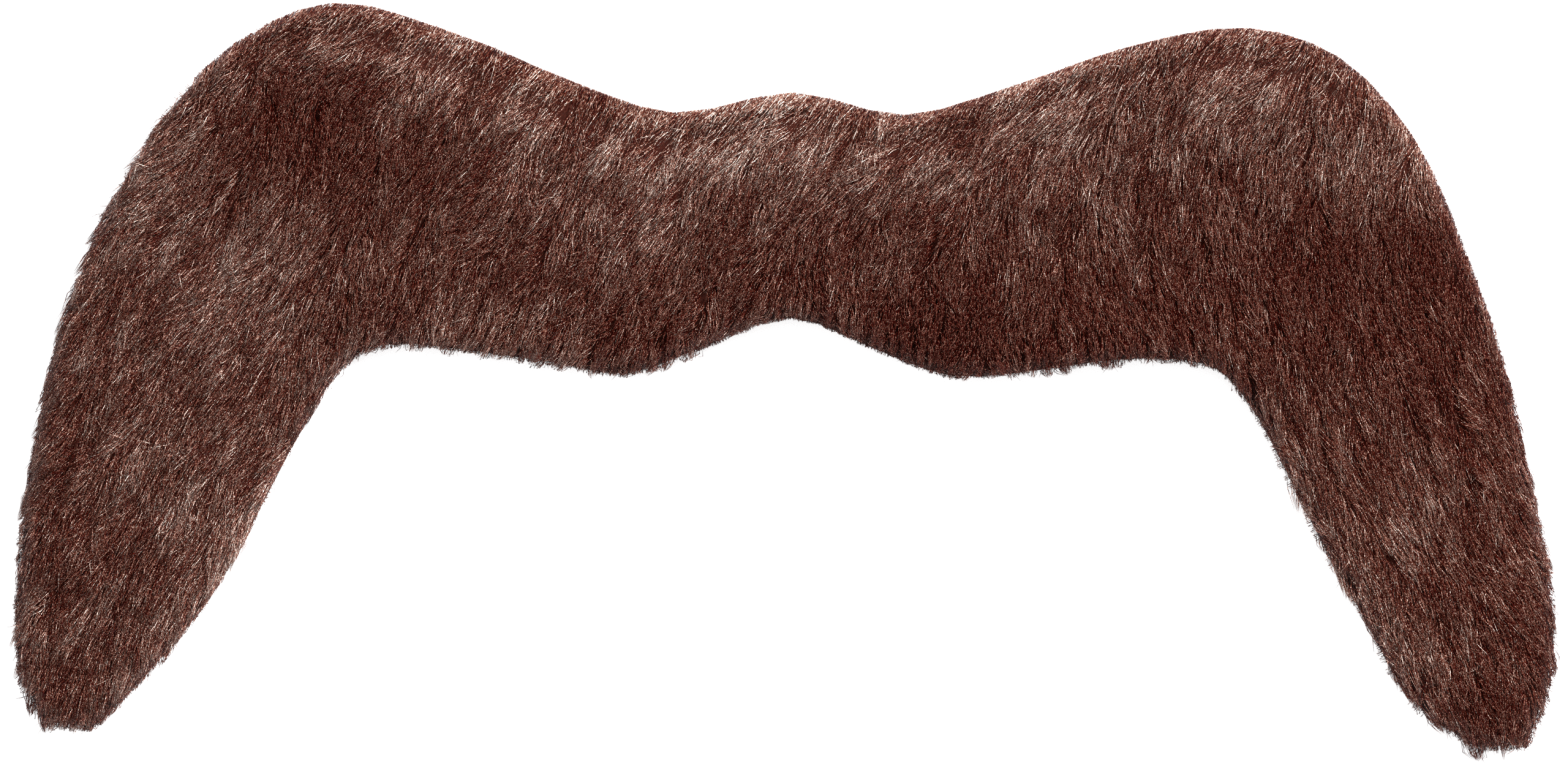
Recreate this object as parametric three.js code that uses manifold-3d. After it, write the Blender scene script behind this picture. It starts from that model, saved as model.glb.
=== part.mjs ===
// A false moustache: a wide horseshoe cut from one piece of short brown plush, with two legs that hang
// past the corners of the mouth and an adhesive sheet on the back that sticks it to the face.
//
// Millimetres. The moustache lies on its back: +X runs to the viewer's right, +Y towards the nose and +Z
// out of the face. The origin is on the adhesive, in the middle of the stretch over the upper lip.

import * as THREE from "three";
import { mergeVertices } from "three/addons/utils/BufferGeometryUtils.js";
import Module from "manifold-3d";

// The layers, from the face outwards
const ADHESIVE_THICKNESS = 0.4;
const BACKING_THICKNESS = 1.2;
const LAYER_GAP = 0.1;
const ADHESIVE_INSET = 2.5; // from the cut edge of the cloth

// The fur: it stands highest along the middle of the band and rounds down to the cut edge
const PILE_HEIGHT = 4.6;
const PILE_EDGE_HEIGHT = 2.2;
const PILE_EDGE_ROUND = 6.5;

// The locks that the fur falls into
const LOCK_LENGTH = 9.5;
const LOCK_WIDTH = 4.4;
const LOCK_CREST = 1.0; // above the fur round it
const LOCK_DEPTH = 1.0; // below the fur round it
const LOCK_PITCH = 5.2; // between neighbours across the band
const LOCK_ROW_STEP = 2; // stations from one row to the next
const LOCK_STAGGER = 0.2; // of the pitch, one way and the other in turn
const LOCK_OVERHANG = 1.1; // how far a lock may pass the cut edge
const LOCK_SIZES = [1, 0.85, 0.7, 0.55, 0.4]; // tried in turn near the cut edge
const LOCK_SPREAD = { length: 0.22, width: 0.2, crest: 0.35, heading: 11 }; // either way, shares and degrees
const LOCK_SEED = 11;

// Steps of the smooth edges between two sections, and of the fur's surface from edge to edge
const STEPS_PER_SECTION = 3;
const ACROSS = [0, 0.06, 0.18, 0.36, 0.64, 0.82, 0.94, 1];

// Straight cuts across the band, from the end of the left leg over the lip to the end of the right leg.
// The outer edge is the one towards the nose and the cheeks, the inner one that towards the mouth.
const SECTIONS = [
  { at: "left end", outerX: -67.6, outerY: -46.7, innerX: -63.4, innerY: -47.2 },
  { at: "left leg, end", outerX: -69.8, outerY: -42.0, innerX: -58.2, innerY: -42.1 },
  { at: "left leg, low", outerX: -70.0, outerY: -34.5, innerX: -52.1, innerY: -34.5 },
  { at: "left leg, middle", outerX: -69.0, outerY: -25.5, innerX: -47.2, innerY: -25.5 },
  { at: "left leg, high", outerX: -66.9, outerY: -14.0, innerX: -42.3, innerY: -16.5 },
  { at: "left corner", outerX: -63.4, outerY: -4.2, innerX: -39.0, innerY: -13.1 },
  { at: "left cheek", outerX: -58.0, outerY: 6.2, innerX: -35.6, innerY: -12.4 },
  { at: "left shoulder", outerX: -50.4, outerY: 14.5, innerX: -31.5, innerY: -12.7 },
  { at: "left crest", outerX: -41.5, outerY: 18.2, innerX: -27.0, innerY: -13.3 },
  { at: "left slope", outerX: -31.0, outerY: 15.8, innerX: -21.5, innerY: -14.1 },
  { at: "left lobe", outerX: -19.0, outerY: 11.0, innerX: -14.8, innerY: -15.1 },
  { at: "left dip", outerX: -10.6, outerY: 8.3, innerX: -8.2, innerY: -12.8 },
  { at: "lip", outerX: 0.2, outerY: 10.1, innerX: 0.0, innerY: -10.0 },
  { at: "right dip", outerX: 10.5, outerY: 8.2, innerX: 7.8, innerY: -12.9 },
  { at: "right lobe", outerX: 20.0, outerY: 10.8, innerX: 14.6, innerY: -15.3 },
  { at: "right slope", outerX: 31.0, outerY: 14.5, innerX: 22.5, innerY: -14.8 },
  { at: "right crest", outerX: 41.5, outerY: 16.1, innerX: 29.0, innerY: -13.9 },
  { at: "right shoulder", outerX: 49.6, outerY: 13.5, innerX: 35.0, innerY: -13.8 },
  { at: "right cheek", outerX: 56.3, outerY: 6.4, innerX: 38.8, innerY: -14.7 },
  { at: "right corner", outerX: 61.0, outerY: -3.7, innerX: 41.6, innerY: -17.6 },
  { at: "right leg, high", outerX: 64.6, outerY: -14.0, innerX: 44.2, innerY: -22.2 },
  { at: "right leg, middle", outerX: 67.1, outerY: -25.5, innerX: 47.6, innerY: -29.0 },
  { at: "right leg, low", outerX: 69.0, outerY: -35.8, innerX: 51.9, innerY: -36.8 },
  { at: "right leg, end", outerX: 68.7, outerY: -43.2, innerX: 56.4, innerY: -44.6 },
  { at: "right end", outerX: 66.8, outerY: -48.8, innerX: 62.2, innerY: -49.0 },
];

// Which way the fur is combed, from root to tip: 180 is to the left and 270 straight down
const COMB = [
  { at: "left leg, end", x: -65, y: -42, heading: 241 },
  { at: "left leg", x: -58, y: -26, heading: 240 },
  { at: "left leg, outer edge", x: -65, y: -14, heading: 231 },
  { at: "left cheek", x: -55, y: 3, heading: 215 },
  { at: "left shoulder", x: -45, y: 0, heading: 231 },
  { at: "left crest", x: -41, y: 15, heading: 216 },
  { at: "left corner", x: -36, y: -6, heading: 260 },
  { at: "left slope", x: -27, y: 10, heading: 213 },
  { at: "left lobe", x: -24, y: -8, heading: 256 },
  { at: "lip, top", x: 0, y: 7, heading: 213 },
  { at: "lip, middle", x: 0, y: 0, heading: 232 },
  { at: "lip, bottom", x: 0, y: -8, heading: 252 },
  { at: "right lobe", x: 16, y: -11, heading: 265 },
  { at: "right slope", x: 26, y: 9, heading: 224 },
  { at: "right slope, below", x: 29, y: 0, heading: 261 },
  { at: "right crest", x: 41, y: 14, heading: 208 },
  { at: "right corner", x: 40, y: -6, heading: 272 },
  { at: "right cheek", x: 55, y: 0, heading: 281 },
  { at: "right leg, high", x: 49, y: -18, heading: 297 },
  { at: "right leg", x: 57, y: -28, heading: 299 },
  { at: "right leg, end", x: 63, y: -43, heading: 296 },
];

const BACKING_BOTTOM = ADHESIVE_THICKNESS + LAYER_GAP;
const PILE_BOTTOM = BACKING_BOTTOM + BACKING_THICKNESS + LAYER_GAP;
const STATIONS = (SECTIONS.length - 1) * STEPS_PER_SECTION;

const wasm = await Module();
wasm.setup();

// Smooth edges of the band

const smoothCurve = (points) => new THREE.CatmullRomCurve3(points, false, "centripetal");
const outerEdge = smoothCurve(SECTIONS.map((cut) => new THREE.Vector3(cut.outerX, cut.outerY, 0)));
const innerEdge = smoothCurve(SECTIONS.map((cut) => new THREE.Vector3(cut.innerX, cut.innerY, 0)));

// The place at a station along the band, a share of the way from the outer edge to the inner one
function bandPoint(station, across) {
  const along = station / STATIONS;
  return outerEdge.getPoint(along).lerp(innerEdge.getPoint(along), across);
}

function bandWidth(station) {
  return bandPoint(station, 0).distanceTo(bandPoint(station, 1));
}

// A closed line round the band, set in from the cut edge, between two stations
function outline(inset, first, last, step) {
  const outer = [];
  const inner = [];
  for (let station = first; station <= last; station += step) {
    const share = inset / bandWidth(station);
    outer.push(bandPoint(station, share));
    inner.push(bandPoint(station, 1 - share));
  }
  return [...outer, ...inner.reverse()].map((p) => new THREE.Vector2(p.x, p.y));
}

const cutLine = outline(0, 0, STATIONS, 1);

// Distance from a place to the cut edge: positive on the cloth, negative beyond it
function distanceInside(place) {
  let nearest = Infinity;
  let inside = false;
  cutLine.forEach((a, i) => {
    const b = cutLine[(i + 1) % cutLine.length];
    const run = b.clone().sub(a);
    const share = THREE.MathUtils.clamp(place.clone().sub(a).dot(run) / run.lengthSq(), 0, 1);
    nearest = Math.min(nearest, a.clone().addScaledVector(run, share).distanceTo(place));
    const crosses = a.y > place.y !== b.y > place.y;
    if (crosses && place.x < a.x + (run.x * (place.y - a.y)) / run.y) inside = !inside;
  });
  return inside ? nearest : -nearest;
}

// Height of the fur's even surface
function pileTop(place) {
  const rise = THREE.MathUtils.clamp(distanceInside(place) / PILE_EDGE_ROUND, 0, 1);
  const crown = (PILE_HEIGHT - PILE_EDGE_HEIGHT) * Math.sqrt(1 - (1 - rise) ** 2);
  return PILE_BOTTOM + PILE_EDGE_HEIGHT + crown;
}

// Which way the fur lies at a place, in radians: the charted headings, the near ones counting most
function heading(place) {
  let total = 0;
  let weights = 0;
  for (const mark of COMB) {
    const weight = 1 / (place.distanceToSquared(new THREE.Vector2(mark.x, mark.y)) + 1);
    total += weight * mark.heading;
    weights += weight;
  }
  return THREE.MathUtils.degToRad(total / weights);
}

// Solids

function solidOf(geometry) {
  const bare = new THREE.BufferGeometry();
  bare.setAttribute("position", geometry.getAttribute("position"));
  bare.setIndex(geometry.getIndex());
  const closed = mergeVertices(bare, 1e-4);
  const mesh = new wasm.Mesh({
    numProp: 3,
    vertProperties: closed.getAttribute("position").array,
    triVerts: new Uint32Array(closed.getIndex().array),
  });
  return new wasm.Manifold(mesh);
}

function geometryOf(solid) {
  const mesh = solid.getMesh();
  const geometry = new THREE.BufferGeometry();
  geometry.setAttribute("position", new THREE.BufferAttribute(mesh.vertProperties, 3));
  geometry.setIndex(new THREE.BufferAttribute(mesh.triVerts, 1));
  geometry.computeVertexNormals();
  return geometry;
}

// A closed body through rings of equally many points, each ring turning anticlockwise about the way on
function loft(rings) {
  const size = rings[0].length;
  const index = [];
  for (let ring = 0; ring + 1 < rings.length; ring++) {
    for (let k = 0; k < size; k++) {
      const here = ring * size + k;
      const beside = ring * size + ((k + 1) % size);
      index.push(here, beside, beside + size, here, beside + size, here + size);
    }
  }
  const last = (rings.length - 1) * size;
  for (let k = 1; k + 1 < size; k++) {
    index.push(0, k + 1, k, last, last + k, last + k + 1);
  }
  const places = rings.flat().flatMap((p) => p.toArray());
  const geometry = new THREE.BufferGeometry();
  geometry.setAttribute("position", new THREE.Float32BufferAttribute(places, 3));
  geometry.setIndex(index);
  return geometry;
}

// Each copy of the moustache takes the same random numbers
function seededRandom(seed) {
  let state = seed;
  return () => {
    state = (state * 1664525 + 1013904223) % 2 ** 32;
    return state / 2 ** 32;
  };
}

// Flat sheets cut to the band's outline

function sheet(line, thickness) {
  return new THREE.ExtrudeGeometry(new THREE.Shape(line), { depth: thickness, bevelEnabled: false });
}

// The even body of the fur, from the backing to its rounded surface

function pileBody() {
  const rings = [];
  for (let station = 0; station <= STATIONS; station++) {
    const surface = ACROSS.map((share) => {
      const place = bandPoint(station, share);
      return place.setZ(pileTop(new THREE.Vector2(place.x, place.y)));
    });
    const outerFoot = bandPoint(station, 0).setZ(PILE_BOTTOM);
    const innerFoot = bandPoint(station, 1).setZ(PILE_BOTTOM);
    rings.push([outerFoot, ...surface, innerFoot]);
  }
  return loft(rings);
}

// One lock: a ridge that leaves the fur at its root, swells, and runs out to a low point. Its crest is in
// shares of the lock's own crest above the fur, and its foot in shares of the depth below it.
const LOCK_RINGS = [
  { along: 0, width: 0.55, crest: -0.5, foot: 1 },
  { along: 0.38, width: 1, crest: 1, foot: 1 },
  { along: 0.74, width: 0.7, crest: 0.95, foot: 0.9 },
  { along: 1, width: 0.12, crest: 0.5, foot: 0.6 },
];

// The place in plan so far along a lock and so far to its left
function lockPlace(lock, along, aside) {
  const way = new THREE.Vector2(Math.cos(lock.direction), Math.sin(lock.direction));
  const left = new THREE.Vector2(-way.y, way.x);
  return lock.root.clone().addScaledVector(way, along).addScaledVector(left, aside);
}

function lockSides(lock, ring) {
  const half = (ring.width * lock.width) / 2;
  return [half, -half].map((aside) => lockPlace(lock, ring.along * lock.length, aside));
}

function staysOnCloth(lock) {
  const corners = LOCK_RINGS.flatMap((ring) => lockSides(lock, ring));
  return corners.every((corner) => distanceInside(corner) > -LOCK_OVERHANG);
}

function lockBody(lock) {
  const rings = LOCK_RINGS.map((ring) => {
    const spine = lockPlace(lock, ring.along * lock.length, 0);
    const [left, right] = lockSides(lock, ring);
    const surface = pileTop(spine);
    const foot = surface - ring.foot * LOCK_DEPTH;
    return [
      new THREE.Vector3(left.x, left.y, foot),
      new THREE.Vector3(spine.x, spine.y, surface + ring.crest * lock.crest),
      new THREE.Vector3(right.x, right.y, foot),
    ];
  });
  return loft(rings);
}

// Rows of locks along the band, each a little different. One that would pass the cut edge is made smaller
// until it stays on the cloth, and is left out where no size fits.
function furLocks() {
  const random = seededRandom(LOCK_SEED);
  const spread = () => 2 * random() - 1;
  const locks = [];
  for (let station = 1; station < STATIONS; station += LOCK_ROW_STEP) {
    const count = Math.round(bandWidth(station) / LOCK_PITCH);
    const stagger = station % (2 * LOCK_ROW_STEP) === 1 ? -LOCK_STAGGER : LOCK_STAGGER;
    for (let k = 0; k < count; k++) {
      const place = bandPoint(station, (k + 0.5 + stagger) / count);
      const root = new THREE.Vector2(place.x, place.y);
      const direction = heading(root) + THREE.MathUtils.degToRad(LOCK_SPREAD.heading * spread());
      const length = LOCK_LENGTH * (1 + LOCK_SPREAD.length * spread());
      const width = LOCK_WIDTH * (1 + LOCK_SPREAD.width * spread());
      const crest = LOCK_CREST * (1 + LOCK_SPREAD.crest * spread());
      const sized = (size) => ({ root, direction, length: size * length, width: size * width, crest });
      const fitting = LOCK_SIZES.map(sized).find(staysOnCloth);
      if (fitting) locks.push(fitting);
    }
  }
  return locks;
}

function furPile() {
  let fur = solidOf(pileBody());
  for (const lock of furLocks()) {
    fur = fur.add(solidOf(lockBody(lock)));
  }
  return geometryOf(fur);
}

// The assembly

const materials = {
  adhesive: new THREE.MeshStandardMaterial({ color: 0xe9e3d3, roughness: 0.45, metalness: 0 }),
  backing: new THREE.MeshStandardMaterial({ color: 0x3b1f17, roughness: 0.95, metalness: 0 }),
  fur: new THREE.MeshStandardMaterial({ color: 0x55362c, roughness: 0.6, metalness: 0 }),
};

function piece(name, geometry, material, bottom) {
  const mesh = new THREE.Mesh(geometry, material);
  mesh.name = name;
  mesh.position.z = bottom;
  return mesh;
}

const moustache = new THREE.Group();
moustache.name = "moustache";

const adhesiveLine = outline(ADHESIVE_INSET, 2, STATIONS - 2, 2);
moustache.add(piece("adhesive_sheet", sheet(adhesiveLine, ADHESIVE_THICKNESS), materials.adhesive, 0));
moustache.add(piece("backing_cloth", sheet(cutLine, BACKING_THICKNESS), materials.backing, BACKING_BOTTOM));
moustache.add(piece("fur_pile", furPile(), materials.fur, 0));

export default moustache;
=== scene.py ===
import math
from collections import namedtuple

import bpy
import numpy as np
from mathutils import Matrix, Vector, geometry, kdtree, noise


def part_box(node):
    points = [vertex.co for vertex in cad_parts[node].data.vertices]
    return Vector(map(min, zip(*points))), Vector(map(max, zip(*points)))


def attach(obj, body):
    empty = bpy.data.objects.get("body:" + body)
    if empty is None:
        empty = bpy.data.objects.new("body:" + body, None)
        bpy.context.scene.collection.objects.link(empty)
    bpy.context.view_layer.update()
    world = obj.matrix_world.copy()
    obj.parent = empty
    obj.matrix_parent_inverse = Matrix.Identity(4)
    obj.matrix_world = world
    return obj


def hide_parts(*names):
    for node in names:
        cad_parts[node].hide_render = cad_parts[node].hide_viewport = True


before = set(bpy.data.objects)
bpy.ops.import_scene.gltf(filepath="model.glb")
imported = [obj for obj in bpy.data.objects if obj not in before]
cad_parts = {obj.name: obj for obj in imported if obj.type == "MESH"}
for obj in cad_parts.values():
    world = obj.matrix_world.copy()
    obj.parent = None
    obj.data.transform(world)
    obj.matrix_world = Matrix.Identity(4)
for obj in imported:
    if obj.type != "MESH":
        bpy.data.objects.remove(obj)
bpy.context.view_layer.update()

# The adhesive sheet. A film of skin-safe acrylic adhesive under its siliconed paper liner, die-cut a little
# smaller than the moustache and pressed onto the back of the cloth. Only its edge can be seen from the side.

# The pieces' sizes are in millimetres
MM = 0.001
LINER_CLOUD = 1.5
LINER_FIBRE = 0.15
LINER_FIBRE_DEPTH = 0.03
LINER_DIM = "#e2dac6"
LINER_BRIGHT = "#efe9da"


def linear(colour):
    """An sRGB hex colour as linear red, green, blue and alpha."""
    shares = [int(colour[i:i + 2], 16) / 255 for i in (1, 3, 5)]
    return [s / 12.92 if s <= 0.04045 else ((s + 0.055) / 1.055) ** 2.4 for s in shares] + [1.0]


def add_node(tree, kind, sockets, **settings):
    """One node with its settings. A socket's entry is a value, or the output that is linked to it."""
    made = tree.nodes.new(kind)
    for name, value in settings.items():
        setattr(made, name, value)
    for name, value in sockets.items():
        if isinstance(value, bpy.types.NodeSocket):
            tree.links.new(value, made.inputs[name])
        else:
            made.inputs[name].default_value = value
    return made


def new_material(name):
    """An empty node material: its tree and its output, ready for a shader."""
    material = bpy.data.materials.new(name)
    material.use_nodes = True
    material.node_tree.nodes.clear()
    output = material.node_tree.nodes.new("ShaderNodeOutputMaterial")
    return material, material.node_tree, output


def dress(piece, material):
    """The piece wears this material alone."""
    piece.data.materials.clear()
    piece.data.materials.append(material)


# Siliconed release paper: calendered off-white paper with a faint cloudiness of fibres and a satin coat
liner, tree, output = new_material("siliconed_release_paper")
place = add_node(tree, "ShaderNodeTexCoord", {}).outputs["Object"]
cloud = add_node(tree, "ShaderNodeTexNoise", {
    "Vector": place, "Scale": 1 / (LINER_CLOUD * MM), "Detail": 3.0})
pulp = add_node(tree, "ShaderNodeTexNoise", {
    "Vector": place, "Scale": 1 / (LINER_FIBRE * MM), "Detail": 2.0})
paper = add_node(tree, "ShaderNodeMix", {
    "Factor": cloud.outputs["Fac"], "A": linear(LINER_DIM), "B": linear(LINER_BRIGHT)}, data_type="RGBA")
bump = add_node(tree, "ShaderNodeBump", {
    "Height": pulp.outputs["Fac"], "Strength": 0.15, "Distance": LINER_FIBRE_DEPTH * MM})
shader = add_node(tree, "ShaderNodeBsdfPrincipled", {
    "Base Color": paper.outputs["Result"], "Normal": bump.outputs["Normal"],
    "Roughness": 0.42, "IOR": 1.45, "Coat Weight": 0.25, "Coat Roughness": 0.3})
tree.links.new(shader.outputs["BSDF"], output.inputs["Surface"])
dress(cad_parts["adhesive_sheet"], liner)

# The backing cloth. The ground of the plush, a polyester warp knit that holds the roots of the fur, cut to
# the moustache's outline. It is dyed with the fur, so it is the same brown, only darker and matt.

KNIT_WALE = 0.8
KNIT_COURSE = 0.6
KNIT_DEPTH = 0.15
YARN_GAP_SHADE = "#24100a"
YARN_LIGHT = "#4a2a20"

# Dyed polyester warp knit: small matt loops in wales and courses, with painted shade in the gaps between
# them
knit, tree, output = new_material("dyed_polyester_warp_knit")
place = add_node(tree, "ShaderNodeTexCoord", {}).outputs["Object"]
# A wave's bands repeat every 2 pi / 20 of its scaled coordinate
wave_scale = 2 * math.pi / 20 / MM
wales = add_node(tree, "ShaderNodeTexWave", {
    "Vector": place, "Scale": wave_scale / KNIT_WALE, "Distortion": 0.6}, bands_direction="X")
courses = add_node(tree, "ShaderNodeTexWave", {
    "Vector": place, "Scale": wave_scale / KNIT_COURSE, "Distortion": 0.6}, bands_direction="Y")
loops = add_node(tree, "ShaderNodeMath", {
    0: wales.outputs["Fac"], 1: courses.outputs["Fac"]}, operation="MULTIPLY")
yarn = add_node(tree, "ShaderNodeMix", {
    "Factor": loops.outputs["Value"], "A": linear(YARN_GAP_SHADE), "B": linear(YARN_LIGHT)}, data_type="RGBA")
bump = add_node(tree, "ShaderNodeBump", {
    "Height": loops.outputs["Value"], "Strength": 0.6, "Distance": KNIT_DEPTH * MM})
shader = add_node(tree, "ShaderNodeBsdfPrincipled", {
    "Base Color": yarn.outputs["Result"], "Normal": bump.outputs["Normal"],
    "Roughness": 0.9, "Specular IOR Level": 0.1})
tree.links.new(shader.outputs["BSDF"], output.inputs["Surface"])

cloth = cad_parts["backing_cloth"]
dress(cloth, knit)
cloth_low, cloth_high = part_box("backing_cloth")
cloth_top = cloth_high.z / MM
FLATNESS = 0.01
OUTLINE_DIGITS = 3


def top_outline(node):
    """The line round the cloth's upper face, in millimetres, as points in order."""
    corners = np.array([v.co for v in node.data.vertices]) / MM
    edges = {}
    for face in node.data.polygons:
        keys = [tuple(corners[v, :2].round(OUTLINE_DIGITS)) for v in face.vertices]
        if all(abs(corners[v, 2] - cloth_top) < FLATNESS for v in face.vertices):
            for here, there in zip(keys, keys[1:] + keys[:1]):
                edges[here, there] = True
    # Two faces run along a shared edge in opposite ways, so an edge of the outline is run along only once
    follows = {here: there for here, there in edges if (there, here) not in edges}
    line = [next(iter(follows))]
    while follows[line[-1]] != line[0]:
        line.append(follows[line[-1]])
    return np.array(line)


cut_line = top_outline(cloth)
cut_ahead = np.roll(cut_line, -1, 0)
cut_run = cut_ahead - cut_line

# The undercoat. The lower half of the pile, where the fibres stand so close that no gap shows between them.
# It is one dark cushion on the cloth, and rounds down to almost nothing at the cut edge.

UNDERCOAT_HEIGHT = 3.1
UNDERCOAT_EDGE_HEIGHT = 0.25
UNDERCOAT_EDGE_ROUND = 4.0
UNDERCOAT_STEP = 1.3
UNDERCOAT_LUMP = 4.0
UNDERCOAT_LUMP_HEIGHT = 0.5
UNDERFUR_GRAIN = 0.25
UNDERFUR_GRAIN_DEPTH = 0.2
UNDERFUR_DARK = "#180502"
UNDERFUR_LIGHT = "#3a140b"

# Many places are worked out at a time, but not so many that a table of them by every point grows huge
BATCH = 8000
LEAST_DISTANCE = 1e-9


def batches(count):
    """The numbers from 0 up to a count, in batches."""
    return np.array_split(np.arange(count), max(1, count // BATCH))


def to_cut_edge(places):
    """Distance to the cut edge in millimetres, positive on the cloth, and the way straight out of it."""
    distance = np.empty(len(places))
    outward = np.empty((len(places), 2))
    for part in batches(len(places)):
        here = places[part, None]
        offset = here - cut_line
        share = np.clip((offset * cut_run).sum(2) / (cut_run * cut_run).sum(1), 0, 1)
        away = offset - share[..., None] * cut_run
        length = np.linalg.norm(away, axis=2)
        row = np.arange(len(part))
        nearest = length.argmin(1)
        # A line that runs to the right from a place on the cloth meets the cut edge an odd number of times
        crosses = (cut_line[:, 1] > here[..., 1]) != (cut_ahead[:, 1] > here[..., 1])
        with np.errstate(divide="ignore", invalid="ignore"):
            meets = cut_line[:, 0] + cut_run[:, 0] * offset[..., 1] / cut_run[:, 1]
        on_cloth = (crosses & (here[..., 0] < meets)).sum(1) % 2 == 1
        sign = np.where(on_cloth, 1, -1)
        shortest = length[row, nearest]
        distance[part] = shortest * sign
        outward[part] = -away[row, nearest] * (sign / np.maximum(shortest, LEAST_DISTANCE))[:, None]
    return distance, outward


def grid_over_cloth(step):
    """The x and the y of places a step apart, in rows over the box that holds the cut edge."""
    low, high = cut_line.min(0), cut_line.max(0)
    return np.meshgrid(np.arange(low[0], high[0], step), np.arange(low[1], high[1], step))


def undercoat_top(places, inside):
    """Height of the undercoat above the table, in millimetres."""
    rise = np.clip(inside / UNDERCOAT_EDGE_ROUND, 0, 1)
    crown = np.sqrt(1 - (1 - rise) ** 2)
    lumps = np.array([noise.noise(Vector((x, y, 0)) / UNDERCOAT_LUMP) for x, y in places])
    height = UNDERCOAT_HEIGHT - UNDERCOAT_EDGE_HEIGHT + UNDERCOAT_LUMP_HEIGHT * lumps
    return cloth_top + UNDERCOAT_EDGE_HEIGHT + height * crown


# What the triangulation keeps, and how close two of its points may be before they count as one
INSIDE_RIM = 1
SAME_POINT = 1e-5


def undercoat_mesh():
    """The cushion between the cloth and the undercoat's top, closed along the cut edge."""
    x, y = grid_over_cloth(UNDERCOAT_STEP)
    x[1::2] += UNDERCOAT_STEP / 2
    grid = np.column_stack([x.ravel(), y.ravel()])
    grid = grid[to_cut_edge(grid)[0] > UNDERCOAT_STEP / 2]
    count = len(cut_line)
    rim = [(i, (i + 1) % count) for i in range(count)]
    points = [Vector(p) for p in np.vstack([cut_line, grid])]
    places, _, faces, *_ = geometry.delaunay_2d_cdt(points, rim, [], INSIDE_RIM, SAME_POINT)
    places = np.array(places)
    inside = to_cut_edge(places)[0]
    inside[:count] = 0
    top = np.column_stack([places, undercoat_top(places, inside)])
    bottom = np.column_stack([places, np.full(len(places), cloth_top)])
    under = len(places)
    walls = [(a + under, b + under, b, a) for a, b in rim]
    floor_faces = [tuple(v + under for v in reversed(face)) for face in faces]
    mesh = bpy.data.meshes.new("undercoat")
    mesh.from_pydata(np.vstack([top, bottom]) * MM, [], faces + floor_faces + walls)
    mesh.shade_smooth()
    return mesh


# Matted acrylic underfur: fibres seen end on and in shade, nearly black brown with a fine grain
underfur, tree, output = new_material("matted_acrylic_underfur")
place = add_node(tree, "ShaderNodeTexCoord", {}).outputs["Object"]
grain = add_node(tree, "ShaderNodeTexNoise", {
    "Vector": place, "Scale": 1 / (UNDERFUR_GRAIN * MM), "Detail": 2.0})
depth = add_node(tree, "ShaderNodeMix", {
    "Factor": grain.outputs["Fac"],
    "A": linear(UNDERFUR_DARK), "B": linear(UNDERFUR_LIGHT)}, data_type="RGBA")
bump = add_node(tree, "ShaderNodeBump", {
    "Height": grain.outputs["Fac"], "Strength": 0.8, "Distance": UNDERFUR_GRAIN_DEPTH * MM})
shader = add_node(tree, "ShaderNodeBsdfPrincipled", {
    "Base Color": depth.outputs["Result"], "Normal": bump.outputs["Normal"],
    "Roughness": 0.85, "Specular IOR Level": 0.1})
tree.links.new(shader.outputs["BSDF"], output.inputs["Surface"])

undercoat = bpy.data.objects.new("fur_undercoat", undercoat_mesh())
bpy.context.scene.collection.objects.link(undercoat)
dress(undercoat, underfur)
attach(undercoat, "root")
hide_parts("fur_pile")

# The fur. Crimped acrylic fibres, knitted into the cloth by their roots, sheared to one length and combed
# flat in most places, so that they lie in loose locks. They are thicker here than the real fibre, about as
# thick as the bundles that the eye tells apart.

FUR_SEED = 5
FIBRE_LENGTH = 4.2
FIBRE_WIDTH = 0.055
ROOT_DEPTH = 0.5
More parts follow.
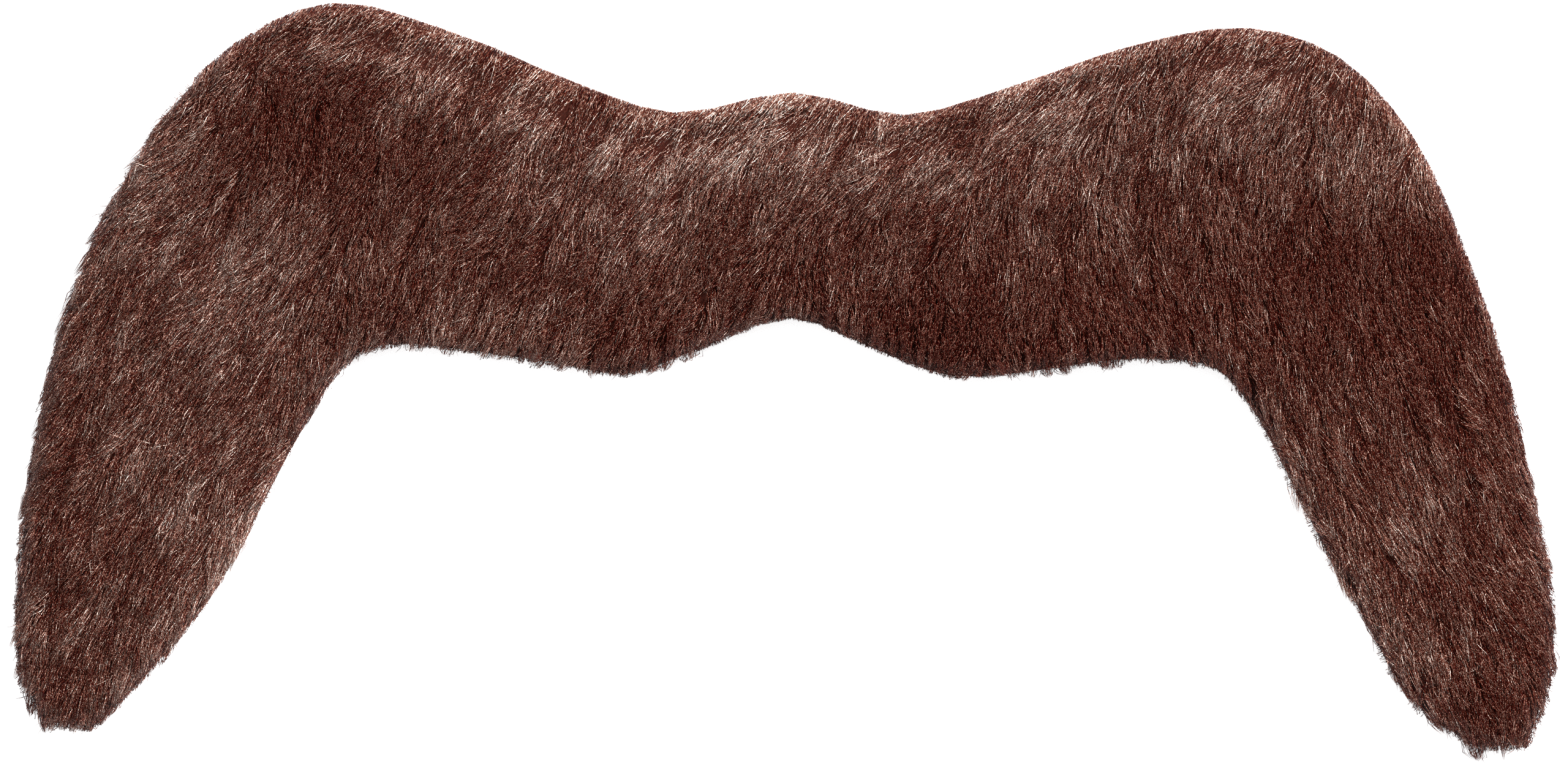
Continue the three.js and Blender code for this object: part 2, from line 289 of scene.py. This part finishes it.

# How the fur lies, charted from the photograph: the heading from root to tip to the nearest 5 degrees, 180
# to the left and 270 down, the rise of the tips above the cloth in degrees, how much paler (1) or darker
# (-1) than the rest it is painted, mostly painted sheen where the fur lies flat to the light and painted
# shade where it stands up, and how far in millimetres tufts may reach past the cut edge nearby
CombMark = namedtuple("CombMark", "x y heading rise tone fringe")
COMB = [
    # left leg
    CombMark(-66, -45, 245, 22, -0.5, 0.7),
    CombMark(-60, -40, 250, 18, 0.1, 0.5),
    CombMark(-68, -33, 245, 28, -0.6, 0.4),
    CombMark(-59, -28, 240, 18, 0.0, 0.6),
    CombMark(-51, -28, 245, 12, 0.8, 0.4),
    CombMark(-65, -14, 240, 20, 0.1, 0.3),
    CombMark(-54, -16, 235, 20, 0.2, 0.6),
    CombMark(-45, -18, 240, 16, 0.0, 0.4),
    # left shoulder
    CombMark(-57, -3, 230, 18, 0.1, 0.9),
    CombMark(-47, -5, 235, 16, 0.8, 0.5),
    CombMark(-56, 5, 230, 20, 0.4, 0.9),
    CombMark(-50, 4, 240, 40, -0.1, 0.5),
    CombMark(-43, 9, 260, 52, -1.5, 0.3),
    CombMark(-42, 16, 225, 15, 0.3, 0.7),
    CombMark(-38, -5, 255, 35, -0.3, 0.6),
    CombMark(-30, 5, 235, 35, -0.9, 0.3),
    CombMark(-29, 13, 235, 15, 0.7, 0.4),
    CombMark(-27, -4, 240, 40, -0.5, 0.5),
    # lip
    CombMark(-22, 10, 230, 14, 1.0, 0.2),
    CombMark(-22, 3, 240, 18, 0.1, 0.3),
    CombMark(-22, -11, 250, 34, 0.2, 0.5),
    CombMark(-15, -9, 250, 48, -0.7, 0.6),
    CombMark(-12, 1, 240, 18, 0.5, 0.2),
    CombMark(-10, 6, 235, 14, 0.8, 0.6),
    CombMark(0, 7, 230, 14, 1.5, 0.7),
    CombMark(0, 1, 240, 22, -0.2, 0.1),
    CombMark(-4, -4, 245, 42, -0.8, 0.4),
    CombMark(3, -7, 260, 50, -0.9, 0.1),
    CombMark(12, 6, 230, 18, 0.6, 0.35),
    CombMark(12, -2, 240, 36, -0.8, 0.2),
    CombMark(13, -10, 260, 58, -1.7, 0.3),
    CombMark(23, -12, 275, 56, -1.5, 0.6),
    CombMark(22, 1, 260, 28, -0.2, 0.3),
    CombMark(24, 9, 230, 14, 0.9, 0.2),
    # right shoulder
    CombMark(32, 8, 250, 28, 0.1, 0.2),
    CombMark(30, -2, 275, 32, -0.4, 0.4),
    CombMark(31, -10, 285, 46, -1.1, 0.7),
    CombMark(41, 13, 225, 15, 0.8, 0.25),
    CombMark(40, 3, 260, 38, -0.3, 0.3),
    CombMark(41, -8, 280, 46, -1.1, 0.6),
    CombMark(52, 6, 255, 30, 0.5, 0.25),
    CombMark(48, -4, 270, 50, -1.4, 0.4),
    CombMark(58, -5, 275, 45, -1.2, 0.25),
    # right leg
    CombMark(53, -12, 285, 42, -1.1, 0.5),
    CombMark(47, -18, 285, 25, -0.4, 0.8),
    CombMark(62, -16, 285, 30, -1.1, 0.35),
    CombMark(54, -27, 295, 18, 0.1, 0.9),
    CombMark(64, -24, 290, 28, -0.3, 0.35),
    CombMark(53, -37, 290, 16, 0.1, 0.9),
    CombMark(61, -36, 290, 22, -0.2, 0.7),
    CombMark(68, -36, 290, 25, -0.8, 0.8),
    CombMark(65, -46, 280, 35, -1.3, 1.0),
]
COMB_REACH = 3.0
Lie = namedtuple("Lie", "heading rise tone fringe")


def lie_of_fur(places):
    """How the fur lies at each place: the chart's marks, the near ones counting most."""
    marks = np.array(COMB, float)
    mean = np.empty((len(places), len(Lie._fields)))
    for part in batches(len(places)):
        far = ((places[part, None] - marks[:, :2]) ** 2).sum(2)
        weight = 1 / (far + COMB_REACH ** 2) ** 2
        mean[part] = weight @ marks[:, 2:] / weight.sum(1, keepdims=True)
    return Lie(*mean.T)


# Where locks, the wisps in them and single fibres stand. The densities are counts to the square millimetre
LOCK_SPACING = 2.4
WISP_SPACING = 0.7
FIBRE_DENSITY = 33.0
EDGE_ROW_DENSITY = 58.0
EDGE_ROW_WIDTH = 0.5
EDGE_ROW_INSET = 0.03
Spots = namedtuple("Spots", "places inside outward")


def spots_on_cloth(places):
    """Those of the places that are on the cloth, each with its distance to the cut edge and the way out."""
    inside, outward = to_cut_edge(places)
    kept = inside > 0
    return Spots(places[kept], inside[kept], outward[kept])


def scattered(spacing, random):
    """Spots on the cloth, one at random in each square of a grid."""
    x, y = grid_over_cloth(spacing)
    places = np.column_stack([x.ravel(), y.ravel()])
    return spots_on_cloth(places + random.uniform(0, spacing, places.shape))


def edge_rows(random):
    """Spots in a narrow band along the cut edge, where the fur's own density would leave the cloth bare."""
    length = np.linalg.norm(cut_run, axis=1)
    inward = np.column_stack([-cut_run[:, 1], cut_run[:, 0]]) / length[:, None]
    count = round(EDGE_ROW_DENSITY * EDGE_ROW_WIDTH * length.sum())
    pick = random.choice(len(cut_run), count, p=length / length.sum())
    along = random.random((count, 1))
    depth = random.uniform(EDGE_ROW_INSET, EDGE_ROW_WIDTH, (count, 1))
    return spots_on_cloth(cut_line[pick] + cut_run[pick] * along + inward[pick] * depth)


random = np.random.default_rng(FUR_SEED)
locks = scattered(LOCK_SPACING, random).places
wisps = scattered(WISP_SPACING, random)
field = scattered(FIBRE_DENSITY ** -0.5, random)
edge = edge_rows(random)
fibres = Spots(*(np.concatenate(pair) for pair in zip(field, edge)))
wisp_count = len(wisps.places)
fibre_count = len(fibres.places)
wisp_lie = lie_of_fur(wisps.places)
fibre_lie = lie_of_fur(fibres.places)

# A lock is longer along the fur than across it. So is a wisp, whose ends run in among those of the next
LOCK_SLIMNESS = 2.8
WISP_HALF_LENGTH = 1.4


def nearest_of(places, centres):
    """For each place, the number of the nearest centre."""
    finder = kdtree.KDTree(len(centres))
    for number, centre in enumerate(centres):
        finder.insert((*centre, 0), number)
    finder.balance()
    return np.array([finder.find((*place, 0))[1] for place in places])


lean = np.radians(wisp_lie.heading)[:, None]
offset = wisps.places[:, None] - locks
along = offset[..., 0] * np.cos(lean) + offset[..., 1] * np.sin(lean)
across = offset[..., 1] * np.cos(lean) - offset[..., 0] * np.sin(lean)
lock_of_wisp = ((along / LOCK_SLIMNESS) ** 2 + across ** 2).argmin(1)
along_lock = along[np.arange(wisp_count), lock_of_wisp] / LOCK_SPACING

lean = np.radians(fibre_lie.heading)
slide = random.uniform(-WISP_HALF_LENGTH, WISP_HALF_LENGTH, fibre_count)
slid = fibres.places + np.column_stack([np.cos(lean), np.sin(lean)]) * slide[:, None]
wisp_of_fibre = nearest_of(slid, wisps.places)

# How much a lock differs from the chart, a wisp from its lock and a fibre from its wisp: in heading and in
# rise, both in degrees, and in shade. The far end of a lock lies raised over the next one, with painted
# light on it and painted shade at the lock's near end
Spread = namedtuple("Spread", "turn lift tone")
LOCK_SPREAD = Spread(turn=8.0, lift=3.0, tone=0.07)
WISP_SPREAD = Spread(turn=6.0, lift=5.0, tone=0.06)
FIBRE_SPREAD = Spread(turn=8.0, lift=8.0, tone=0.2)
LOCK_END_LIFT = 5.0
LOCK_END_LIGHT_AND_SHADE = 0.05
WISP_LENGTHS = (0.9, 1.1)
FIBRE_LENGTHS = (0.7, 1.1)
FIBRE_CURL = 12.0
# Strays turn aside and stand up more. Guard hairs are a little longer and lie on top, with a painted glint
# that makes them paler
STRAY_SHARE = 0.05
STRAY_TURN = 28.0
STRAY_LIFT = 10.0
GUARD_SHARE = 0.06
GUARD_LENGTH = 1.1
GUARD_LIFT = 0.1
GUARD_GLINT = 0.15

lock_turn = random.normal(0, LOCK_SPREAD.turn, len(locks))
lock_lift = random.normal(0, LOCK_SPREAD.lift, len(locks))
lock_tone = random.normal(0, LOCK_SPREAD.tone, len(locks))
wisp_turn = lock_turn[lock_of_wisp] + random.normal(0, WISP_SPREAD.turn, wisp_count)
wisp_lift = lock_lift[lock_of_wisp] + random.normal(0, WISP_SPREAD.lift, wisp_count)
wisp_lift += LOCK_END_LIFT * along_lock
wisp_tone = lock_tone[lock_of_wisp] + random.normal(0, WISP_SPREAD.tone, wisp_count)
# Painted light on the raised far end of a lock, painted shade at its near end
wisp_tone += LOCK_END_LIGHT_AND_SHADE * along_lock
wisp_length = random.uniform(*WISP_LENGTHS, wisp_count)
wisp_droop = random.random(wisp_count)
stray = random.random(fibre_count) < STRAY_SHARE
guard = random.random(fibre_count) < GUARD_SHARE
fibre_turn = wisp_turn[wisp_of_fibre] + random.normal(0, FIBRE_SPREAD.turn, fibre_count)
fibre_turn += np.where(stray, random.normal(0, STRAY_TURN, fibre_count), 0)
fibre_lift = wisp_lift[wisp_of_fibre] + random.normal(0, FIBRE_SPREAD.lift, fibre_count)
fibre_lift += np.where(stray, np.abs(random.normal(0, STRAY_LIFT, fibre_count)), 0)
fibre_length = wisp_length[wisp_of_fibre] * random.uniform(*FIBRE_LENGTHS, fibre_count)
fibre_length *= np.where(guard, GUARD_LENGTH, 1)
fibre_curl = random.normal(0, FIBRE_CURL, fibre_count)

# A strand, which is a fibre or the middle of a wisp, stands up from its root and bends over at its knee.
# Upright fur turns more freely than flat fur, and is sheared shorter
KNEE_SHARE = 0.55
KNEE_LIFT = 14.0
TIP_DROP = 6.0
LEAST_RISE = 4.0
MOST_RISE = 78.0
STEEPEST_STEM = 1.45  # radians
FLAT_TURN = 0.7
RISE_PER_TURN = 50.0
UPRIGHT_CROP = 0.3
# Where the fur leans in from the cut edge, the strands within reach of it first bulge out over it. They do
# so fully in the outer half of that reach, and where half of their heading or more is straight in
BULGE_LEAN = 0.5
BULGE_REACH = 1.9
BULGE_FRINGE = 0.4
BULGE_HEIGHT = 0.3
BULGE_STRETCH = 0.45


def way(heading, rise):
    """Unit vectors for headings and rises in radians."""
    return np.column_stack([np.cos(heading) * np.cos(rise), np.sin(heading) * np.cos(rise), np.sin(rise)])


def grown(spots, lie, turn, lift, length, curl):
    """Root, knee and tip in millimetres of a strand on each spot."""
    heading = np.radians(lie.heading + turn * (FLAT_TURN + lie.rise / RISE_PER_TURN))
    rise = np.radians(np.clip(lie.rise + lift, LEAST_RISE, MOST_RISE))
    reach = FIBRE_LENGTH * length * (1 - UPRIGHT_CROP * np.sin(rise))
    root = np.column_stack([spots.places, undercoat_top(spots.places, spots.inside) - ROOT_DEPTH])
    stem = way(heading, np.minimum(rise + math.radians(KNEE_LIFT), STEEPEST_STEM))
    leans_in = -(np.cos(heading) * spots.outward[:, 0] + np.sin(heading) * spots.outward[:, 1])
    bulge = np.clip(leans_in / BULGE_LEAN, 0, 1) * np.clip(2 - 2 * spots.inside / BULGE_REACH, 0, 1)
    over_edge = spots.outward * (spots.inside + BULGE_FRINGE * lie.fringe)[:, None]
    knee = root + stem * (KNEE_SHARE * reach * (1 - bulge))[:, None]
    knee += np.column_stack([over_edge, BULGE_HEIGHT * reach]) * bulge[:, None]
    end = way(heading + np.radians(curl), rise - math.radians(TIP_DROP))
    tip = knee + end * ((1 - KNEE_SHARE + BULGE_STRETCH * bulge) * reach)[:, None]
    return root, knee, tip


root, knee, tip = grown(fibres, fibre_lie, fibre_turn, fibre_lift, fibre_length, fibre_curl)
wisp_root, wisp_knee, wisp_tip = grown(wisps, wisp_lie, wisp_turn, wisp_lift, wisp_length, 0)

# The shears leave a fringe past the cut edge: a few wisps reach far, single fibres less, and strays more
TUFT_REACH = 1.5
TUFT_RARITY = 3
FIBRE_FRINGE = 0.2
STRAY_FRINGE = 0.8
TRIM_STEPS = 10
TRIM_SHARE = 0.85
# A wisp draws its fibres together, most of all at the edge, where its tip stands out as a tuft
WISP_PULL_KNEE = 0.1
WISP_PULL_TIP = 0.35
EDGE_PULL = 2.4
EDGE_PULL_WIDTH = 1.0
STRAY_PULL = 0.1


def trim(root, knee, tip, fringe):
    """Shortens, step by step, the strands whose tips lie further past the cut edge than their fringe."""
    over = np.arange(len(root))
    for _ in range(TRIM_STEPS):
        over = over[to_cut_edge(tip[over, :2])[0] < -fringe[over]]
        knee[over] = root[over] + TRIM_SHARE * (knee[over] - root[over])
        tip[over] = root[over] + TRIM_SHARE * (tip[over] - root[over])


wisp_fringe = wisp_lie.fringe * TUFT_REACH * random.random(wisp_count) ** TUFT_RARITY
trim(wisp_root, wisp_knee, wisp_tip, wisp_fringe)
wisp_pull = np.where(to_cut_edge(wisp_tip[:, :2])[0] < EDGE_PULL_WIDTH, EDGE_PULL, 1.0)
pull = np.where(stray, STRAY_PULL, wisp_pull[wisp_of_fibre])[:, None]
knee += (wisp_knee[wisp_of_fibre] - knee) * WISP_PULL_KNEE * pull
tip += (wisp_tip[wisp_of_fibre] - tip) * WISP_PULL_TIP * pull
knee[guard, 2] += GUARD_LIFT
tip[guard, 2] += GUARD_LIFT
own_fringe = random.uniform(0, FIBRE_FRINGE, fibre_count)
own_fringe += np.where(stray, STRAY_FRINGE * random.random(fibre_count), 0)
trim(root, knee, tip, fibre_lie.fringe * own_fringe + wisp_fringe[wisp_of_fibre])

# Some of the outermost fibres droop over the cut edge like a skirt and hide the cloth
SKIRT_SHARE = 0.4
SKIRT_PROUD = 0.05
SKIRT_FRINGE = 0.6
SKIRT_RISE = 0.35
SKIRT_SPLAY = 0.1
SKIRT_DROPS = (0.3, 1.1)

skirt = np.arange(fibre_count) >= len(field.places)
skirt &= random.random(fibre_count) < SKIRT_SHARE
drop = random.uniform(*SKIRT_DROPS, fibre_count)
reach = fibres.inside + SKIRT_PROUD + SKIRT_FRINGE * fibre_lie.fringe * wisp_droop[wisp_of_fibre] ** 2
over_edge = fibres.outward * reach[:, None]
knee[skirt] = (root + np.column_stack([over_edge, np.full(fibre_count, SKIRT_RISE)]))[skirt]
tip[skirt] = (knee + np.column_stack([fibres.outward * SKIRT_SPLAY, -drop]))[skirt]

# A fibre's shade runs from 0, dark, to 1, pale. The fur has painted shade that makes it a little darker
# along the cut edge
MEAN_SHADE = 0.215
CHART_SHEEN_AND_SHADE = 0.19
EDGE_SHADE = 0.06
EDGE_SHADE_WIDTH = 0.9
SHADE_RANGE = (0.02, 0.98)
WIDTH_RANGE = (0.7, 1.3)

# The chart's tone is painted sheen and painted shade
shade = MEAN_SHADE + CHART_SHEEN_AND_SHADE * fibre_lie.tone + wisp_tone[wisp_of_fibre]
shade += random.normal(0, FIBRE_SPREAD.tone, fibre_count)
# Guard hairs are painted paler, as glints
shade += np.where(guard, GUARD_GLINT, 0)
# Painted shade along the cut edge
shade -= EDGE_SHADE * np.clip(1 - fibres.inside / EDGE_SHADE_WIDTH, 0, 1)
shade = np.clip(shade, *SHADE_RANGE)
width = FIBRE_WIDTH * random.uniform(*WIDTH_RANGE, fibre_count)

# Each fibre is a slim bent spindle: its root, three corners round its knee, and its tip. Its map is a strip
# as narrow as one shade, which runs up from root to tip
SPINDLE_FACES = np.array([(0, 2, 1), (0, 3, 2), (0, 1, 3), (1, 2, 4), (2, 3, 4), (3, 1, 4)])
SPINDLE_ANGLES = np.radians([210, 330, 90])
SPINDLE_ACROSS = np.array([0.0, -0.004, 0.0, 0.004, 0.0])
SPINDLE_ALONG = np.array([0.02, KNEE_SHARE, KNEE_SHARE, KNEE_SHARE, 0.98])


def fur_mesh(name, root, knee, tip, width, shade):
    """One mesh of many fibres, with a map that gives each its shade across and runs from root to tip up."""
    line = tip - root
    side = np.cross(line, (0.0, 0.0, 1.0))
    side /= np.linalg.norm(side, axis=1, keepdims=True)
    top = np.cross(side, line)
    top /= np.linalg.norm(top, axis=1, keepdims=True)
    radius = (width / math.sqrt(3))[:, None]
    corners = [knee + (math.cos(angle) * side + math.sin(angle) * top) * radius for angle in SPINDLE_ANGLES]
    corners = np.stack([root, *corners, tip], 1)
    count, each = corners.shape[:2]
    faces = (np.arange(count)[:, None, None] * each + SPINDLE_FACES).reshape(-1, 3)

    mesh = bpy.data.meshes.new(name)
    mesh.vertices.add(count * each)
    mesh.vertices.foreach_set("co", (corners * MM).astype(np.float32).ravel())
    mesh.loops.add(faces.size)
    mesh.loops.foreach_set("vertex_index", faces.astype(np.int32).ravel())
    mesh.polygons.add(len(faces))
    mesh.polygons.foreach_set("loop_start", np.arange(0, faces.size, 3, dtype=np.int32))
    strip = np.stack([shade[:, None] + SPINDLE_ACROSS, np.broadcast_to(SPINDLE_ALONG, (count, each))], 2)
    layer = mesh.uv_layers.new(name="OFBake")
    layer.data.foreach_set("uv", strip.reshape(-1, 2)[faces.ravel()].astype(np.float32).ravel())
    mesh.update(calc_edges=True)
    mesh.shade_smooth()
    return mesh


# Acrylic plush fibre: smooth drawn filament with a soft gloss, red brown in the dark and beige where it is
# pale, near white at its painted glints. Its map gives its own shade from left to right. It is paler towards
# its tip, at the top of the map, partly as a tipped fibre and partly by painted shade deeper in the pile,
# and has painted glints in short stretches where its crimp turns up
CRIMP_GLINT_LENGTH = 0.17
CRIMP_GLINT_KINDS = 80.0
CRIMP_GLINT_TONE = 2.2
CRIMP_GLINT_MEAN = 0.5
TIP_PALENESS_AND_ROOT_SHADE = 0.3
TIP_AND_ROOT_SHADE_MEAN = 0.65
FIBRE_SHADES = [
    (0.0, "#300000"),
    (0.2, "#581e10"),
    (0.4, "#744435"),
    (0.6, "#9d7161"),
    (0.8, "#d2ad9d"),
    (1.0, "#fff3e8"),
]

fibre_finish, tree, output = new_material("drawn_acrylic_plush_fibre")
fibre_place = add_node(tree, "ShaderNodeUVMap", {}, uv_map="OFBake").outputs["UV"]
stretched = add_node(tree, "ShaderNodeMapping", {
    "Vector": fibre_place, "Scale": (CRIMP_GLINT_KINDS, FIBRE_LENGTH / CRIMP_GLINT_LENGTH, 1.0)})
# Painted glints in short stretches where the crimp turns up
crimp_glints = add_node(tree, "ShaderNodeTexNoise", {
    "Vector": stretched.outputs["Vector"], "Scale": 1.0, "Detail": 1.0}, noise_dimensions="2D")
parts = add_node(tree, "ShaderNodeSeparateXYZ", {"Vector": fibre_place})
glinted = add_node(tree, "ShaderNodeMath", {
    0: crimp_glints.outputs["Fac"], 1: CRIMP_GLINT_TONE, 2: parts.outputs["X"]}, operation="MULTIPLY_ADD")
# Paler towards the tip, partly as a tipped fibre and partly by painted shade deeper in the pile
tipped_and_shaded = add_node(tree, "ShaderNodeMath", {
    0: parts.outputs["Y"], 1: TIP_PALENESS_AND_ROOT_SHADE, 2: glinted.outputs["Value"]}, operation="MULTIPLY_ADD")
# What the painted crimp glints and the tip's paleness with its painted root shade add on average is taken
# off again, so that the fibre keeps its own shade
level = add_node(tree, "ShaderNodeMath", {
    0: tipped_and_shaded.outputs["Value"], 1: CRIMP_GLINT_MEAN * CRIMP_GLINT_TONE + TIP_AND_ROOT_SHADE_MEAN * TIP_PALENESS_AND_ROOT_SHADE}, operation="SUBTRACT")
fibre_colour = add_node(tree, "ShaderNodeValToRGB", {"Fac": level.outputs["Value"]})
shade_stops = fibre_colour.color_ramp.elements
while len(shade_stops) < len(FIBRE_SHADES):
    shade_stops.new(0.5)
for stop, (position, colour) in zip(shade_stops, FIBRE_SHADES):
    stop.position = position
    stop.color = linear(colour)
shader = add_node(tree, "ShaderNodeBsdfPrincipled", {
    "Base Color": fibre_colour.outputs["Color"], "Roughness": 0.3, "IOR": 1.5, "Specular IOR Level": 0.1})
tree.links.new(shader.outputs["BSDF"], output.inputs["Surface"])

# The pieces lie side by side from left to right and have as many fibres each
FUR_PIECES = ["fur_left_leg", "fur_left_shoulder", "fur_left_lip",
              "fur_right_lip", "fur_right_shoulder", "fur_right_leg"]
for name, own in zip(FUR_PIECES, np.array_split(np.argsort(root[:, 0]), len(FUR_PIECES))):
    fur = bpy.data.objects.new(name, fur_mesh(name, root[own], knee[own], tip[own], width[own], shade[own]))
    bpy.context.scene.collection.objects.link(fur)
    dress(fur, fibre_finish)
    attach(fur, "root")
    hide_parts("fur_pile")

# The studio. A light table of opal acrylic in a white room, a key lamp at the upper right, a broad weak lamp
# overhead, and the camera straight above, as the photograph was taken.

# The table and the lamps are in metres
TABLE_SIZE = 4.0
TABLE_COLOUR = "#f6f6f6"
TABLE_GLOW = 0.6
WHITE = "#ffffff"
ROOM_LIGHT = 0.55
Lamp = namedtuple("Lamp", "name place size power")
LAMPS = [
    Lamp("key", place=(0.5, 0.45, 0.9), size=0.3, power=30.0),
    Lamp("overhead", place=(-0.1, 0.1, 1.2), size=0.8, power=4.5),
]

# Opal acrylic of a light table, lit from below so that shadows on it stay faint
table, tree, output = new_material("backlit_opal_acrylic")
shader = add_node(tree, "ShaderNodeBsdfPrincipled", {
    "Base Color": linear(TABLE_COLOUR), "Roughness": 0.8, "Specular IOR Level": 0.2,
    "Emission Color": linear(WHITE), "Emission Strength": TABLE_GLOW})
tree.links.new(shader.outputs["BSDF"], output.inputs["Surface"])
half = TABLE_SIZE / 2
table_corners = [(-half, -half, 0), (half, -half, 0), (half, half, 0), (-half, half, 0)]
floor_mesh = bpy.data.meshes.new("table_top")
floor_mesh.from_pydata(table_corners, [], [(0, 1, 2, 3)])
floor = bpy.data.objects.new("table_top", floor_mesh)
bpy.context.scene.collection.objects.link(floor)
dress(floor, table)

world = bpy.data.worlds.new("studio")
bpy.context.scene.world = world
world.use_nodes = True
world.node_tree.nodes["Background"].inputs["Color"].default_value = linear(WHITE)
world.node_tree.nodes["Background"].inputs["Strength"].default_value = ROOM_LIGHT

for name, place, size, power in LAMPS:
    lamp = bpy.data.lights.new(name, "AREA")
    lamp.shape = "SQUARE"
    lamp.size = size
    lamp.energy = power
    light = bpy.data.objects.new(name, lamp)
    light.location = place
    light.rotation_euler = (-Vector(place)).to_track_quat("-Z", "Y").to_euler()
    bpy.context.scene.collection.objects.link(light)

# The photograph's scale holds at the height of the fur's edge
CAMERA_LENS = 200.0
CAMERA_SENSOR = 36.0
IMAGE_WIDTH = 2560
IMAGE_HEIGHT = 1257
PIXELS_PER_MM = 18.0
ORIGIN_PIXEL_X = 1290
ORIGIN_PIXEL_Y = 338
SCALE_HEIGHT = 2.5

camera_data = bpy.data.cameras.new("camera")
camera_data.lens = CAMERA_LENS
camera_data.sensor_width = CAMERA_SENSOR
camera = bpy.data.objects.new("camera", camera_data)
frame_width = IMAGE_WIDTH / PIXELS_PER_MM
camera.location = (
    (IMAGE_WIDTH / 2 - ORIGIN_PIXEL_X) / PIXELS_PER_MM * MM,
    (ORIGIN_PIXEL_Y - IMAGE_HEIGHT / 2) / PIXELS_PER_MM * MM,
    (SCALE_HEIGHT + frame_width * CAMERA_LENS / CAMERA_SENSOR) * MM,
)
bpy.context.scene.collection.objects.link(camera)
bpy.context.scene.camera = camera
bpy.context.scene.view_settings.view_transform = "Standard"
# Denoising would smear the fibres
bpy.context.scene.cycles.use_denoising = False
